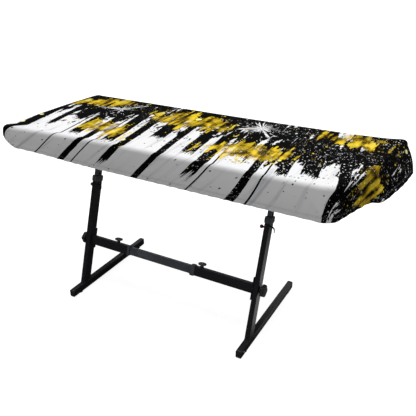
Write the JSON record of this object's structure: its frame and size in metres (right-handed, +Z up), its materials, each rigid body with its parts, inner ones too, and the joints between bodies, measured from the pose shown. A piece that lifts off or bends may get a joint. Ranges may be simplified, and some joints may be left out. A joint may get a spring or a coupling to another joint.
{
  "type": "keyboard dust cover on keyboard stand",
  "caption": "Fitted stretch-cloth dust cover with a drawn-in hem, pulled over a plain keyboard body on a plain steel stand with leaning columns, feet and a crossbar.",
  "frame": {"origin": "on the floor, under the middle of the whole object's box", "axes": "+X along the keyboard to the player's right, +Y away from the player, +Z up"},
  "size_m": [1.4058, 0.663, 0.602],
  "materials": {
    "cover_cloth": "smooth printed polyester stretch knit with a slight sheen",
    "keyboard_plastic": "fine-grained black moulded plastic",
    "black_steel": "satin black powder coat on steel tube",
    "black_plastic": "black moulded nylon",
    "black_rubber": "matt black rubber",
    "grey_plastic": "dark grey moulded plastic",
    "red_plastic": "glossy dark red ball",
    "zinc_steel": "zinc-plated pin and screw"
  },
  "bodies": {
    "root": {"cover": "cover_cloth", "keyboard_body": "keyboard_plastic", "foot_tube_left": "black_steel", "foot_tube_right": "black_steel", "foot_cap_left_front": "black_plastic", "foot_cap_left_back": "black_plastic", "foot_cap_right_front": "black_plastic", "foot_cap_right_back": "black_plastic", "foot_pad_left_front": "black_rubber", "foot_pad_left_back": "black_rubber", "foot_pad_right_front": "black_rubber", "foot_pad_right_back": "black_rubber", "foot_screw_left": "zinc_steel", "foot_screw_right": "zinc_steel", "column_tube_left": "black_steel", "column_tube_right": "black_steel", "column_collar_left": "grey_plastic", "column_collar_right": "grey_plastic", "column_inner_left": "black_steel", "column_inner_right": "black_steel", "pin_stem_left": "zinc_steel", "pin_stem_right": "zinc_steel", "pin_ball_left": "red_plastic", "pin_ball_right": "red_plastic", "pin_lever_left": "black_plastic", "pin_lever_right": "black_plastic", "bar_bracket_left": "black_steel", "bar_bracket_right": "black_steel", "bar_sleeve_left": "black_steel", "bar_sleeve_right": "black_steel", "bar_collar_left": "grey_plastic", "bar_collar_right": "grey_plastic", "bar_knob_left": "grey_plastic", "bar_knob_right": "grey_plastic", "end_knob_left": "black_plastic", "end_knob_right": "black_plastic", "bar_inner": "black_steel", "arm_tube_left": "black_steel", "arm_tube_right": "black_steel", "arm_cap_left_front": "black_plastic", "arm_cap_left_back": "black_plastic", "arm_cap_right_front": "black_plastic", "arm_cap_right_back": "black_plastic", "arm_pad_left_front": "black_rubber", "arm_pad_left_back": "black_rubber", "arm_pad_right_front": "black_rubber", "arm_pad_right_back": "black_rubber"}
  },
  "joints": []
}
